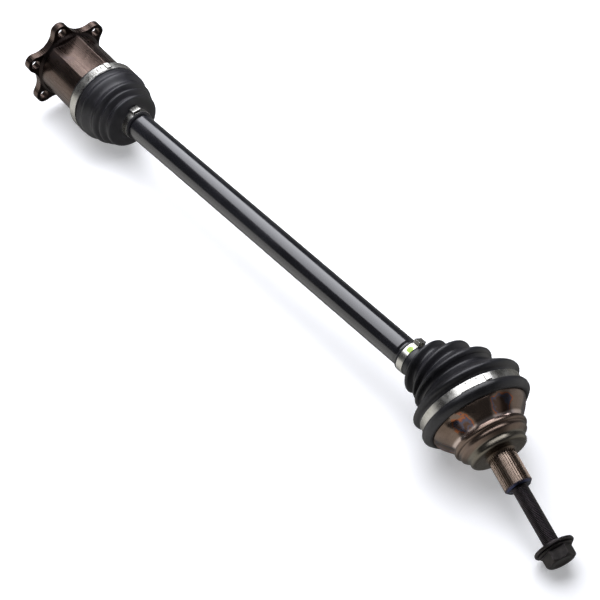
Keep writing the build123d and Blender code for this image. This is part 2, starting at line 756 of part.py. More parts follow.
with BuildPart() as inner_boot:
    seat_end = raised(TULIP, INNER_SEAT_END)
    neck_start = INNER_NECK_START - FLANGE_TO_JOINT
    loft(
        [disc(seat_end, INNER_BOOT_SEAT_R)]
        + [disc(frame, radius) for frame, radius in inner_boot_rings(0.0)]
        + [disc(raised(SPIDER, neck_start), NECK_R)],
        ruled=True,
    )
    loft(
        [disc(seat_end, ADAPTER_R + SLIP)]
        + [disc(frame, radius - BOOT_WALL) for frame, radius in inner_boot_rings(FACE_WALL)]
        + [disc(raised(SPIDER, neck_start - FACE_WALL), SHAFT_SEAT_R + SLIP)],
        ruled=True,
        mode=Mode.SUBTRACT,
    )
    extrude(
        disc(raised(SPIDER, neck_start - FACE_WALL), SHAFT_SEAT_R + SLIP),
        amount=INNER_NECK_END - INNER_NECK_START,
        mode=Mode.SUBTRACT,
    )
    boot_edge = raised(TULIP, INNER_BOOT_EDGE)
    extrude(
        ring_section(boot_edge, INNER_BOOT_SEAT_R, ADAPTER_R + SLIP),
        amount=INNER_SEAT_END - INNER_BOOT_EDGE,
    )
    extrude(
        ring_section(raised(SPIDER, neck_start), NECK_R, SHAFT_SEAT_R + SLIP),
        amount=INNER_NECK_END - INNER_NECK_START,
    )
finish(inner_boot, "inner_boot")

with BuildPart() as outer_boot:
    outer_neck_foot = raised(SHAFT_OUT, -OUTER_NECK[1])
    rings = [(raised(BELL, OUTER_SEAT_END), OUTER_SEAT_R)] + outer_boot_rings()
    rings.append((raised(SHAFT_OUT, -OUTER_NECK[0]), NECK_R))
    loft([disc(frame, radius) for frame, radius in rings], ruled=True)
    loft(
        [disc(rings[0][0], BELL_SEAT_R - BOOT_WALL)]
        + [disc(frame, radius - BOOT_WALL) for frame, radius in rings[1:-1]]
        + [disc(rings[-1][0], SHAFT_SEAT_R + SLIP)],
        ruled=True,
        mode=Mode.SUBTRACT,
    )
    bead = half_section(
        BELL,
        [
            (BELL_SEAT_R + SLIP, OUTER_SEAT_END),
            (OUTER_SEAT_R, OUTER_SEAT_END),
            (OUTER_SEAT_R, BEAD_SECTION[0][1]),
        ]
        + [(BEAD_R - drop, height) for drop, height in BEAD_SECTION]
        + [(BELL_SEAT_R + SLIP, BEAD_SECTION[-1][1])],
    )
    revolve(bead, axis=axis_of(BELL))
    extrude(
        ring_section(outer_neck_foot, NECK_R, SHAFT_SEAT_R + SLIP),
        amount=OUTER_NECK[1] - OUTER_NECK[0],
    )
finish(outer_boot, "outer_boot")


# ================================================================ clamps
def wall_plane(frame, azimuth, height, radius):
    """Plane lying on a cylinder, facing outwards, x round the cylinder, y along it."""
    faced = azimuth_frame(frame, azimuth)
    origin = faced.origin + faced.z_dir * height + faced.x_dir * radius
    return Plane(origin=origin, x_dir=faced.z_dir.cross(faced.x_dir), z_dir=faced.x_dir)


def arc_section(frame, outer, inner, azimuth, half_angle):
    """Piece of a flat ring centred on an azimuth."""
    faced = azimuth_frame(frame, azimuth)
    reach = 2 * outer
    spread = reach * tan(radians(half_angle))
    with BuildSketch(faced) as section:
        with BuildLine():
            Polyline((0, 0), (reach, -spread), (reach, spread), close=True)
        make_face()
        Circle(outer, mode=Mode.INTERSECT)
        Circle(inner, mode=Mode.SUBTRACT)
    return section.sketch


def large_clamp_parts(frame, low, high, inner, outer, azimuth):
    """Sections, heights and amounts of a crimped large clamp."""
    band = (ring_section(raised(frame, low), outer, inner), high - low)
    tab_frame = raised(frame, low + TAB_T / 2)
    tab = (
        arc_section(tab_frame, outer + TAB_T, outer, azimuth, TAB_HALF_ANGLE),
        high - low - TAB_T,
    )
    hook_frame = raised(frame, low + TAB_T)
    hook = (
        arc_section(
            hook_frame, outer + HOOK_T, outer, azimuth - HOOK_STEP, HOOK_HALF_ANGLE
        ),
        high - low - 2 * TAB_T,
    )
    return [band, tab, hook]


def tab_slots(frame, low, high, outer, azimuth):
    """Slots pressed into the tab of a large clamp."""
    sections = []
    for number in range(TAB_SLOT_COUNT):
        shift = (number - (TAB_SLOT_COUNT - 1) / 2) * TAB_SLOT_PITCH
        turn = degrees(shift / outer)
        face = wall_plane(frame, azimuth + turn, (low + high) / 2, outer + 2 * TAB_T)
        sections.append(block_section(face, TAB_SLOT_W, TAB_SLOT_L))
    return sections


with BuildPart() as inner_large_clamp:
    for section, amount in large_clamp_parts(
        TULIP,
        INNER_BAND_START,
        INNER_BAND_END,
        INNER_BOOT_SEAT_R + SLIP,
        INNER_BAND_R,
        INNER_TAB_AZIMUTH,
    ):
        extrude(section, amount=amount)
    for section in tab_slots(
        TULIP, INNER_BAND_START, INNER_BAND_END, INNER_BAND_R, INNER_TAB_AZIMUTH
    ):
        extrude(section, amount=-2 * TAB_T, mode=Mode.SUBTRACT)
finish(inner_large_clamp, "inner_large_clamp")

with BuildPart() as outer_large_clamp:
    for section, amount in large_clamp_parts(
        BELL,
        OUTER_BAND[0],
        OUTER_BAND[1],
        OUTER_SEAT_R + SLIP,
        OUTER_BAND_R,
        OUTER_TAB_AZIMUTH,
    ):
        extrude(section, amount=amount)
    for section in tab_slots(
        BELL, OUTER_BAND[0], OUTER_BAND[1], OUTER_BAND_R, OUTER_TAB_AZIMUTH
    ):
        extrude(section, amount=-2 * TAB_T, mode=Mode.SUBTRACT)
finish(outer_large_clamp, "outer_large_clamp")


def small_clamp_sections(frame, low, high, azimuth):
    """Band and crimped ear of a small clamp."""
    band = ring_section(raised(frame, low), SMALL_BAND_R, NECK_R + SLIP)
    faced = azimuth_frame(raised(frame, low), azimuth)
    ear_centre = SMALL_BAND_R + EAR_H / 2 - TAB_T / 2
    with BuildSketch(faced) as ear:
        with Locations((ear_centre, 0)):
            Rectangle(EAR_H + TAB_T, 2 * EAR_HALF_W)
        with Locations((ear_centre, 0)):
            Rectangle(EAR_H - TAB_T, 2 * (EAR_HALF_W - TAB_T), mode=Mode.SUBTRACT)
        Circle(SMALL_BAND_R - TAB_T / 2, mode=Mode.SUBTRACT)
    return [band, ear.sketch]


with BuildPart() as inner_small_clamp:
    low, high = [height - FLANGE_TO_JOINT for height in INNER_SMALL_BAND]
    for section in small_clamp_sections(SPIDER, low, high, SMALL_EAR_AZIMUTH):
        extrude(section, amount=high - low)
finish(inner_small_clamp, "inner_small_clamp")

with BuildPart() as outer_small_clamp:
    low, high = OUTER_SMALL_BAND
    for section in small_clamp_sections(SHAFT_OUT, low, high, SMALL_EAR_OUT_AZIMUTH):
        extrude(section, amount=high - low)
finish(outer_small_clamp, "outer_small_clamp")
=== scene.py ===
import json
import math

import bmesh
import bpy
from mathutils import Matrix, Vector

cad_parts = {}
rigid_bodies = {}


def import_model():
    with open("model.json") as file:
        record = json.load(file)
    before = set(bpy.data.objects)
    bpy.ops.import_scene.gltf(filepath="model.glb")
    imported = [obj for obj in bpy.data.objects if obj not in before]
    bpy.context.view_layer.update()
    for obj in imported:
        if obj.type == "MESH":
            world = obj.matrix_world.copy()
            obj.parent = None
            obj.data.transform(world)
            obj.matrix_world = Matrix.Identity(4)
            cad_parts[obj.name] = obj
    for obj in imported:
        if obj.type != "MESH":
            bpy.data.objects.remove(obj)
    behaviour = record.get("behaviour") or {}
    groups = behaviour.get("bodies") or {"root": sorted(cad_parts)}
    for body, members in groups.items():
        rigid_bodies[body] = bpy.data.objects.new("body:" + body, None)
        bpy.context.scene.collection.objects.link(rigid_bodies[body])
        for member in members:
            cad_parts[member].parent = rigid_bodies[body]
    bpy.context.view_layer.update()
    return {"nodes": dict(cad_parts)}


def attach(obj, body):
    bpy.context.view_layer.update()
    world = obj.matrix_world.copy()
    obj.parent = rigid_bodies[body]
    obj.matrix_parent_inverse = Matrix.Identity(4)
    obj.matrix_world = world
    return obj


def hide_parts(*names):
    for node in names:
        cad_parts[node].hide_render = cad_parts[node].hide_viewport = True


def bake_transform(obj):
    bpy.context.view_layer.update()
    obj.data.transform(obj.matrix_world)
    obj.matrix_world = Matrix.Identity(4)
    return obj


for leftover in list(bpy.data.objects):
    bpy.data.objects.remove(leftover)

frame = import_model()
MM = 0.001

# ---------------------------------------------------------------- where the axle's joints stand, in mm
INNER_BEND = 3.4
OUTER_BEND = 19.15
OUTER_BEND_AZIMUTH = -133.4
TRUNNION_AZIMUTH = -83.0
JOINT_SPAN = 635.0
FLANGE_TO_JOINT = 50.0
BALL_PHASE = 33.3
BALL_STEP = math.radians(60.0)
SHAFT_FIT_R = 14.1


def leaning(tilt, azimuth):
    """Direction leaning from +X by a tilt towards an azimuth counted from +Y to +Z."""
    side = math.sin(math.radians(tilt))
    turn = math.radians(azimuth)
    return Vector((math.cos(math.radians(tilt)), side * math.cos(turn), side * math.sin(turn)))


def from_nearest(angle, phase):
    """Angle to the nearest of the six places that are a ball's spacing apart, one of them at the phase."""
    return (angle - phase + BALL_STEP / 2) % BALL_STEP - BALL_STEP / 2


def across(azimuth):
    """Unit direction square to the shaft."""
    return Vector((0.0, math.cos(math.radians(azimuth)), math.sin(math.radians(azimuth))))


SHAFT_DIR = Vector((1.0, 0.0, 0.0))
BALL_JOINT = Vector((268.28, -2.66, 55.5))
TRIPOD_JOINT = BALL_JOINT - SHAFT_DIR * JOINT_SPAN
TRUNNION_DIR = across(TRUNNION_AZIMUTH)
TULIP_DIR = leaning(INNER_BEND, TRUNNION_AZIMUTH - 90.0)
HINGE_DIR = across(OUTER_BEND_AZIMUTH + 90.0)
STUB_DIR = leaning(OUTER_BEND, OUTER_BEND_AZIMUTH)
BEND_SIDE = across(OUTER_BEND_AZIMUTH)
FLANGE_ORIGIN = TRIPOD_JOINT - TULIP_DIR * FLANGE_TO_JOINT


def placed(origin, x_dir, z_dir):
    """Matrix that sets a piece drawn about its own Z axis, in mm, into the row frame in metres."""
    y_dir = z_dir.cross(x_dir)
    turn = Matrix((x_dir, y_dir, z_dir)).transposed().to_4x4()
    return Matrix.Translation(origin * MM) @ turn


TULIP = placed(FLANGE_ORIGIN, TRUNNION_DIR, TULIP_DIR)
BELL = placed(BALL_JOINT, HINGE_DIR, STUB_DIR)


# ---------------------------------------------------------------- node helpers
class Nodes:
    """Node chains on one tree."""

    def __init__(self, tree):
        self.tree = tree

    def add(self, kind, **settings):
        """A node with its own settings."""
        node = self.tree.nodes.new(kind)
        for key, value in settings.items():
            setattr(node, key, value)
        return node

    def plug(self, value, socket):
        """Links an output, or sets a constant."""
        if isinstance(value, bpy.types.NodeSocket):
            self.tree.links.new(value, socket)
        else:
            socket.default_value = value

    def sum(self, a, b, operation="ADD", clamp=False):
        """Arithmetic on two values."""
        node = self.add("ShaderNodeMath", operation=operation, use_clamp=clamp)
        self.plug(a, node.inputs[0])
        self.plug(b, node.inputs[1])
        return node.outputs[0]

    def product(self, *values):
        """All values multiplied together."""
        result = values[0]
        for value in values[1:]:
            result = self.sum(result, value, "MULTIPLY")
        return result

    def range(self, value, low, high, to_low=0.0, to_high=1.0):
        """A value rescaled and clamped."""
        node = self.add("ShaderNodeMapRange", interpolation_type="SMOOTHSTEP")
        self.plug(value, node.inputs["Value"])
        for socket, number in zip(("From Min", "From Max", "To Min", "To Max"), (low, high, to_low, to_high)):
            node.inputs[socket].default_value = number
        return node.outputs["Result"]

    def mix(self, share, a, b, blend="MIX"):
        """Two colours mixed by a share."""
        node = self.add("ShaderNodeMix", data_type="RGBA", blend_type=blend)
        node.clamp_factor = True
        self.plug(share, node.inputs[0])
        for value, socket in ((a, node.inputs[6]), (b, node.inputs[7])):
            self.plug((*value, 1.0) if isinstance(value, tuple) else value, socket)
        return node.outputs[2]


class Shader(Nodes):
    """A Principled material and the few node chains that its look needs."""

    def __init__(self, name, **sockets):
        self.material = bpy.data.materials.new(name)
        self.material.use_nodes = True
        super().__init__(self.material.node_tree)
        self.surface = self.tree.nodes["Principled BSDF"]
        for socket, value in sockets.items():
            self.surface.inputs[socket.replace("_", " ")].default_value = value
        self.coordinates = self.add("ShaderNodeTexCoord").outputs["Object"]

    def local(self, matrix, scale=(1.0, 1.0, 1.0)):
        """Object coordinates seen from a frame of the axle, then stretched along its axes."""
        node = self.add("ShaderNodeMapping", vector_type="TEXTURE")
        self.plug(self.coordinates, node.inputs["Vector"])
        node.inputs["Location"].default_value = matrix.translation
        node.inputs["Rotation"].default_value = matrix.to_euler()
        node.inputs["Scale"].default_value = tuple(1.0 / factor for factor in scale)
        return node.outputs["Vector"]

    def noise(self, scale, detail=4.0, rough=0.55, distortion=0.0, vector=None):
        """Noise at a scale per metre."""
        node = self.add("ShaderNodeTexNoise")
        self.plug(self.coordinates if vector is None else vector, node.inputs["Vector"])
        node.inputs["Scale"].default_value = scale
        node.inputs["Detail"].default_value = detail
        node.inputs["Roughness"].default_value = rough
        node.inputs["Distortion"].default_value = distortion
        return node.outputs["Fac"]

    def ramp(self, value, *stops, smooth=True):
        """Colour ramp through (position, colour) stops."""
        node = self.add("ShaderNodeValToRGB")
        elements = node.color_ramp.elements
        node.color_ramp.interpolation = "EASE" if smooth else "LINEAR"
        while len(elements) < len(stops):
            elements.new(0.5)
        for element, (position, colour) in zip(elements, stops):
            element.position = position
            shade = (colour, colour, colour) if isinstance(colour, (int, float)) else colour
            element.color = (*shade, 1.0)
        self.plug(value, node.inputs["Fac"])
        return node.outputs["Color"]

    def edge(self, radius, low=0.004, high=0.10):
        """Mask of the edges within a radius, from the difference a bevel makes to the normal."""
        bevel = self.add("ShaderNodeBevel", samples=4)
        bevel.inputs["Radius"].default_value = radius
        geometry = self.add("ShaderNodeNewGeometry")
        dot = self.add("ShaderNodeVectorMath", operation="DOT_PRODUCT")
        self.plug(bevel.outputs["Normal"], dot.inputs[0])
        self.plug(geometry.outputs["Normal"], dot.inputs[1])
        return self.range(self.sum(1.0, dot.outputs["Value"], "SUBTRACT"), low, high)

    def bump(self, height, strength, distance, rounding=0.0):
        """Bump from a height, over edges rounded by a bevel."""
        node = self.add("ShaderNodeBump")
        node.inputs["Strength"].default_value = strength
        node.inputs["Distance"].default_value = distance
        self.plug(height, node.inputs["Height"])
        if rounding:
            bevel = self.add("ShaderNodeBevel", samples=4)
            bevel.inputs["Radius"].default_value = rounding
            self.plug(bevel.outputs["Normal"], node.inputs["Normal"])
        self.plug(node.outputs["Normal"], self.surface.inputs["Normal"])

    def colour(self, value):
        """Sets the base colour."""
        self.plug(value, self.surface.inputs["Base Color"])

    def roughness(self, value):
        """Sets the roughness."""
        self.plug(value, self.surface.inputs["Roughness"])


def metal(name, dark, light, rough, scale=60.0, edge=None, bump=0.12, rounding=0.0, **sockets):
    """Metal whose tone drifts in patches, with fine grain, and brighter worn edges."""
    shader = Shader(name, Metallic=1.0, **sockets)
    patches = shader.noise(scale, 5.0, 0.6)
    tone = shader.ramp(patches, (0.32, dark), (0.68, light))
    fine = shader.noise(2600.0, 2.0, 0.5)
    tone = shader.mix(shader.range(fine, 0.3, 0.7, 0.0, 0.35), tone, tuple(c * 0.55 for c in dark))
    if edge:
        tone = shader.mix(shader.edge(0.0007), tone, edge)
    shader.colour(tone)
    spread = shader.sum(shader.range(patches, 0.3, 0.7, -0.06, 0.08),
                        shader.range(fine, 0.3, 0.7, -0.04, 0.06))
    shader.roughness(shader.sum(spread, rough, clamp=True))
    shader.bump(fine, bump, 0.00012, rounding)
    return shader.material


def rubber(name):
    """Moulded black boot rubber: a faint purple-grey bloom, mould texture and dust in the folds."""
    shader = Shader(name, Metallic=0.0, IOR=1.5, Specular_IOR_Level=0.40)
    cloud = shader.noise(38.0, 5.0, 0.6, 0.4)
    tone = shader.ramp(cloud, (0.3, (0.0075, 0.0075, 0.0085)), (0.7, (0.0150, 0.0145, 0.0175)))
    speck = shader.noise(1500.0, 3.0, 0.6)
    tone = shader.mix(shader.range(speck, 0.62, 0.78, 0.0, 0.5), tone, (0.035, 0.034, 0.038))
    shader.colour(tone)
    shader.roughness(shader.sum(shader.range(cloud, 0.3, 0.7, 0.31, 0.43),
                                shader.range(speck, 0.3, 0.7, -0.03, 0.05)))
    shader.bump(speck, 0.16, 0.00010)
    return shader.material


def paint(name):
    """Gloss black enamel with orange peel and the odd dust nib."""
    shader = Shader(name, Metallic=0.0, IOR=1.5, Coat_Weight=0.6, Coat_Roughness=0.07)
    cloud = shader.noise(20.0, 4.0, 0.5)
    tone = shader.ramp(cloud, (0.3, (0.0040, 0.0040, 0.0055)), (0.7, (0.0075, 0.0075, 0.0100)))
    nibs = shader.noise(900.0, 2.0, 0.5)
    tone = shader.mix(shader.range(nibs, 0.70, 0.80, 0.0, 0.6), tone, (0.03, 0.03, 0.035))
    shader.colour(tone)
    shader.roughness(shader.range(cloud, 0.3, 0.7, 0.17, 0.27))
    peel = shader.noise(260.0, 2.0, 0.4)
    shader.bump(peel, 0.10, 0.00020)
    return shader.material


def plastic(name):
    """Matt black moulded plastic."""
    shader = Shader(name, Metallic=0.0, IOR=1.46)
    cloud = shader.noise(70.0, 4.0, 0.6)
    shader.colour(shader.ramp(cloud, (0.3, (0.006, 0.006, 0.007)), (0.7, (0.014, 0.014, 0.015))))
    shader.roughness(shader.range(cloud, 0.3, 0.7, 0.42, 0.55))
    shader.bump(shader.noise(1900.0, 3.0, 0.6), 0.2, 0.0001)
    return shader.material


def forged(name):
    """Dark oxide steel of the tulip: brown-grey scale with streaks along it, bare rubbed edges lightened
    further as painted highlight on the ridges, and painted shade on the flange's front face.
    """
    shader = Shader(name, Metallic=1.0)
    patches = shader.noise(26.0, 6.0, 0.62, 0.6)
    tone = shader.ramp(patches, (0.28, (0.085, 0.060, 0.050)), (0.55, (0.128, 0.093, 0.077)),
                       (0.78, (0.112, 0.088, 0.088)))
    streaks = shader.noise(900.0, 4.0, 0.6, vector=shader.local(TULIP, (1.0, 1.0, 0.05)))
    tone = shader.mix(shader.range(streaks, 0.35, 0.7, 0.0, 0.3), tone, (0.055, 0.039, 0.033))
    pits = shader.noise(1500.0, 4.0, 0.7)
    tone = shader.mix(shader.range(pits, 0.60, 0.74, 0.0, 0.5), tone, (0.020, 0.014, 0.012))
    split = shader.add("ShaderNodeSeparateXYZ")
    shader.plug(shader.local(TULIP), split.inputs["Vector"])
    height = shader.product(split.outputs["Z"], 1000.0)
    # painted shade: the flange's front face and the body's root next to it are darkened nearly to black
    shaded_face = shader.product(shader.range(height, -0.5, -0.1), shader.range(height, 2.4, 4.6, 1.0, 0.0))
    tone = shader.mix(shader.product(shaded_face, 0.9), tone, (0.010, 0.008, 0.008))
    # rubbed edges lightened to pinkish tan: partly real wear, partly painted highlight along the lit ridges;
    # kept faint near the flange
    worn_and_highlit = shader.product(shader.edge(0.0009, 0.01, 0.16), shader.range(height, 3.0, 9.0, 0.12, 1.0))
    tone = shader.mix(worn_and_highlit, tone, (0.46, 0.35, 0.31))
    shader.colour(tone)
    spread = shader.sum(shader.range(patches, 0.3, 0.7, -0.05, 0.08),
                        shader.range(streaks, 0.3, 0.7, -0.05, 0.07))
    shader.roughness(shader.sum(spread, 0.25, clamp=True))
    shader.bump(shader.sum(shader.sum(streaks, 0.6, "MULTIPLY"), pits), 0.14, 0.00012, 0.0009)
    return shader.material


def heat_tinted(name):
    """Turned and induction-hardened steel of the bell, tempered brown, mauve, orange and blue, with a painted
    highlight round the ledge below the first step.

    Drawn in the bell's own frame: Z runs out along the stub, and the tints lie round the axis.
    """
    shader = Shader(name, Metallic=1.0)
    split = shader.add("ShaderNodeSeparateXYZ")
    shader.plug(shader.local(BELL), split.inputs["Vector"])
    height = shader.sum(split.outputs["Z"], 1000.0, "MULTIPLY")
    turn = shader.sum(split.outputs["Y"], split.outputs["X"], "ARCTAN2")
    wander = shader.noise(52.0, 3.0, 0.5, 1.2)
    fine_wander = shader.noise(150.0, 3.0, 0.5)
    lobes = shader.add("ShaderNodeMath", operation="COSINE")
    past_ball = shader.sum(turn, math.radians(BALL_PHASE + 30.0), "SUBTRACT")
    shader.plug(shader.sum(past_ball, 6.0, "MULTIPLY"), lobes.inputs[0])
    distance = shader.sum(shader.sum(height, 15.0, "SUBTRACT"), 8.2, "DIVIDE")
    distance = shader.sum(distance, distance, "MULTIPLY")
    patch = shader.sum(shader.sum(lobes.outputs[0], 0.80, "MULTIPLY"),
                       shader.sum(distance, 0.50, "MULTIPLY"), "SUBTRACT")
    patch = shader.sum(shader.sum(patch, 0.14),
                       shader.sum(shader.sum(wander, 0.5, "SUBTRACT"), 2.6, "MULTIPLY"))
    patch = shader.sum(patch, shader.sum(shader.sum(fine_wander, 0.5, "SUBTRACT"), 0.8, "MULTIPLY"))
    base = shader.ramp(shader.noise(30.0, 4.0, 0.55), (0.3, (0.118, 0.086, 0.066)),
                       (0.55, (0.170, 0.126, 0.100)), (0.78, (0.150, 0.124, 0.118)))
    tint = shader.ramp(patch, (0.0, (1.0, 1.0, 1.0)), (0.08, (1.30, 0.90, 0.70)), (0.17, (2.10, 0.90, 0.42)),
                       (0.27, (0.90, 0.62, 0.70)), (0.36, (0.46, 0.74, 1.40)), (0.50, (0.60, 0.66, 0.95)),
                       (0.64, (0.62, 0.50, 0.46)), (0.80, (0.50, 0.42, 0.38)), smooth=False)
    on_cone = shader.product(shader.range(height, 3.0, 7.5), shader.range(height, 23.0, 27.0, 1.0, 0.0))
    coloured = shader.mix(on_cone, base, shader.mix(1.0, base, tint, "MULTIPLY"))
    # painted highlight: a near-white band all round the ledge, standing in for the softbox's reflection there
    ledge_highlight = shader.product(shader.range(height, 19.5, 22.0), shader.range(height, 24.2, 25.6, 1.0, 0.0))
    coloured = shader.mix(shader.product(ledge_highlight, 0.8), coloured, (0.62, 0.52, 0.47))
    ring = shader.mix(shader.range(height, 36.5, 38.5), coloured, (0.150, 0.138, 0.112))
    spline = shader.mix(shader.range(height, 45.0, 47.0), ring, (0.180, 0.140, 0.106))
    tip = shader.mix(shader.range(height, 80.4, 81.6), spline, (0.030, 0.040, 0.085))
    turned = shader.noise(1.0, 3.0, 0.6, vector=shader.local(BELL, (90.0, 90.0, 5200.0)))
    tone = shader.mix(shader.range(turned, 0.35, 0.7, 0.0, 0.28), tip, (0.070, 0.050, 0.042))
    tone = shader.mix(shader.edge(0.0006, 0.02, 0.25), tone, (0.40, 0.30, 0.26))
    shader.colour(tone)
    spread = shader.sum(shader.range(wander, 0.3, 0.7, -0.04, 0.06),
                        shader.range(turned, 0.3, 0.7, -0.03, 0.06))
    shader.roughness(shader.sum(spread, 0.27, clamp=True))
    shader.bump(turned, 0.10, 0.00010)
    return shader.material


def phosphate(name):
    """Matt black phosphate on the hub bolt, with a purple-grey bloom on rubbed edges."""
    shader = Shader(name, Metallic=0.85)
    cloud = shader.noise(160.0, 5.0, 0.65)
    tone = shader.ramp(cloud, (0.3, (0.016, 0.0145, 0.0135)), (0.7, (0.040, 0.036, 0.034)))
    grains = shader.noise(2600.0, 3.0, 0.7)
    tone = shader.mix(shader.range(grains, 0.58, 0.72, 0.0, 0.6), tone, (0.062, 0.052, 0.056))
    tone = shader.mix(shader.edge(0.0006, 0.01, 0.14), tone, (0.120, 0.100, 0.115))
    shader.colour(tone)
    shader.roughness(shader.sum(shader.range(cloud, 0.3, 0.7, 0.40, 0.52),
                                shader.range(grains, 0.3, 0.7, -0.05, 0.06)))
    shader.bump(grains, 0.25, 0.00010, 0.0003)
    return shader.material


def dabbed(material, spot, reach):
    """The clamp's look with a dab of inspector's yellow-green paint at a spot."""
    copy = material.copy()
    nodes = Nodes(copy.node_tree)
    surface = nodes.tree.nodes["Principled BSDF"]
    coordinates = nodes.add("ShaderNodeTexCoord").outputs["Object"]
    gap = nodes.add("ShaderNodeVectorMath", operation="DISTANCE")
    nodes.plug(coordinates, gap.inputs[0])
    gap.inputs[1].default_value = spot * MM
    wobble = nodes.add("ShaderNodeTexNoise")
    nodes.plug(coordinates, wobble.inputs["Vector"])
    wobble.inputs["Scale"].default_value = 420.0
    ragged = nodes.sum(gap.outputs["Value"], nodes.product(wobble.outputs["Fac"], 0.004))
    mask = nodes.range(ragged, reach * 0.9, reach, 1.0, 0.0)
    bare = surface.inputs["Base Color"].links[0].from_socket
    nodes.plug(nodes.mix(mask, bare, (0.30, 0.46, 0.02)), surface.inputs["Base Color"])
    nodes.plug(nodes.sum(1.0, mask, "SUBTRACT"), surface.inputs["Metallic"])
    return copy


MATERIALS = {
    "forged_steel_dark": forged("forged_steel_dark_look"),
    "zinc_plate": metal("zinc_plate_look", (0.42, 0.41, 0.34), (0.62, 0.60, 0.50), 0.34),
    "black_plastic": plastic("black_plastic_look"),
    "boot_rubber": rubber("boot_rubber_look"),
    "clamp_steel": metal("clamp_steel_look", (0.44, 0.43, 0.39), (0.62, 0.61, 0.57), 0.26, scale=90.0,
                         edge=(0.85, 0.85, 0.82), rounding=0.0002),
    "ground_steel": metal("ground_steel_look", (0.38, 0.37, 0.36), (0.55, 0.54, 0.52), 0.26, scale=80.0),
    "spring_steel": metal("spring_steel_look", (0.08, 0.08, 0.085), (0.16, 0.16, 0.165), 0.36),
    "gloss_black_paint": paint("gloss_black_paint_look"),
    "bearing_steel": metal("bearing_steel_look", (0.52, 0.52, 0.53), (0.68, 0.68, 0.69), 0.14, scale=50.0),
    "heat_tinted_steel": heat_tinted("heat_tinted_steel_look"),
    "black_phosphate_steel": phosphate("black_phosphate_steel_look"),
}


def finish_of(piece, slot):
    """Gives a new piece the look of a record slot."""
    piece.data.materials.append(MATERIALS[slot])


for node in frame["nodes"].values():
    for index, material in enumerate(node.data.materials):
        look = MATERIALS.get(material.name.split(".")[0])
        if look:
            node.material_slots[index].link = "OBJECT"
            node.material_slots[index].material = look


DAB_BACK = 93.0
DAB_AZIMUTH = 104.0
DAB_AXIS_R = 18.0
DAB_REACH = 0.0060
DAB = BALL_JOINT - SHAFT_DIR * DAB_BACK + across(DAB_AZIMUTH) * DAB_AXIS_R
dab_node = frame["nodes"]["outer_small_clamp"]
dab_node.material_slots[0].material = dabbed(MATERIALS["clamp_steel"], DAB, DAB_REACH)


# ---------------------------------------------------------------- mesh helpers
SHARP = math.radians(38.0)


def smooth(x):
    """Smooth step from 0 to 1."""
    x = min(max(x, 0.0), 1.0)
    return x * x * (3.0 - 2.0 * x)


def finished(name, vertices, faces, matrix=None, sharp=SHARP):
    """Mesh object from raw lists, smooth shaded between its sharp edges."""
    mesh = bpy.data.meshes.new(name)
    if matrix is not None:
        vertices = [matrix @ Vector(v) for v in vertices]
    mesh.from_pydata([tuple(v) for v in vertices], [], faces)
    work = bmesh.new()
    work.from_mesh(mesh)
    bmesh.ops.recalc_face_normals(work, faces=work.faces)
    work.to_mesh(mesh)
    work.free()
    mesh.shade_smooth()
    mesh.set_sharp_from_angle(angle=sharp)
    piece = bpy.data.objects.new(name, mesh)
    bpy.context.collection.objects.link(piece)
    return piece


def skin(rings, closed):
    """Vertices and faces over rings of equal length; a ring of one point is a pole."""
    vertices, faces, starts = [], [], []
    for ring in rings:
        starts.append(len(vertices))
        vertices.extend(ring)
    pairs = list(zip(range(len(rings) - 1), range(1, len(rings))))
    if closed:
        pairs.append((len(rings) - 1, 0))
    for a, b in pairs:
        count = max(len(rings[a]), len(rings[b]))
        for k in range(count):
            after = (k + 1) % count
            corner = [starts[a] + k, starts[a] + after, starts[b] + after, starts[b] + k]
            if len(rings[a]) == 1:
                corner = [starts[a], starts[b] + after, starts[b] + k]
            elif len(rings[b]) == 1:
                corner = [starts[a] + k, starts[a] + after, starts[b]]
            faces.append(corner)
    return vertices, faces


def polar(name, matrix, stations, columns, radius_at, closed=False, start_angle=0.0):
    """Piece about its own axis: each station is (height, tag) and radius_at gives its radius at an angle."""
    rings = []
    for height, tag in stations:
        ring = []
        for k in range(columns):
            angle = start_angle + math.tau * k / columns
            radius, rise = radius_at(height, tag, angle)
            ring.append(Vector((radius * math.cos(angle), radius * math.sin(angle), rise)) * MM)
        if all(v.xy.length < 1e-9 for v in ring):
            ring = ring[:1]
        rings.append(ring)
    vertices, faces = skin(rings, closed)
    return finished(name, vertices, faces, matrix)


def spline_through(points, steps):
    """Catmull-Rom curve through number tuples, steps to a span."""
    result = []
    for i in range(len(points) - 1):
        p0 = points[max(i - 1, 0)]
        p1, p2 = points[i], points[i + 1]
        p3 = points[min(i + 2, len(points) - 1)]
        for k in range(steps):
            t = k / steps
            result.append(tuple(
                0.5 * (2 * b + (c - a) * t + (2 * a - 5 * b + 4 * c - d) * t * t
                       + (3 * b - a - 3 * c + d) * t ** 3)
                for a, b, c, d in zip(p0, p1, p2, p3)))
    result.append(tuple(points[-1]))
    return result


def ring_at(centre, direction, radius, columns=144):
    """Circle of points about a direction, starting on the same side whichever way it leans."""
    x_dir = (TRUNNION_DIR - direction * TRUNNION_DIR.dot(direction)).normalized()
    y_dir = direction.cross(x_dir)
    points = []
    for k in range(columns):
        angle = math.tau * k / columns
        points.append((centre + (x_dir * math.cos(angle) + y_dir * math.sin(angle)) * radius) * MM)
    return points


def shell(name, outer, inner):
    """Closed shell between an outer and an inner list of (centre, direction, radius)."""
    rings = [ring_at(*ring) for ring in outer] + [ring_at(*ring) for ring in reversed(inner)]
    vertices, faces = skin(rings, True)
    return finished(name, vertices, faces, sharp=math.radians(50.0))


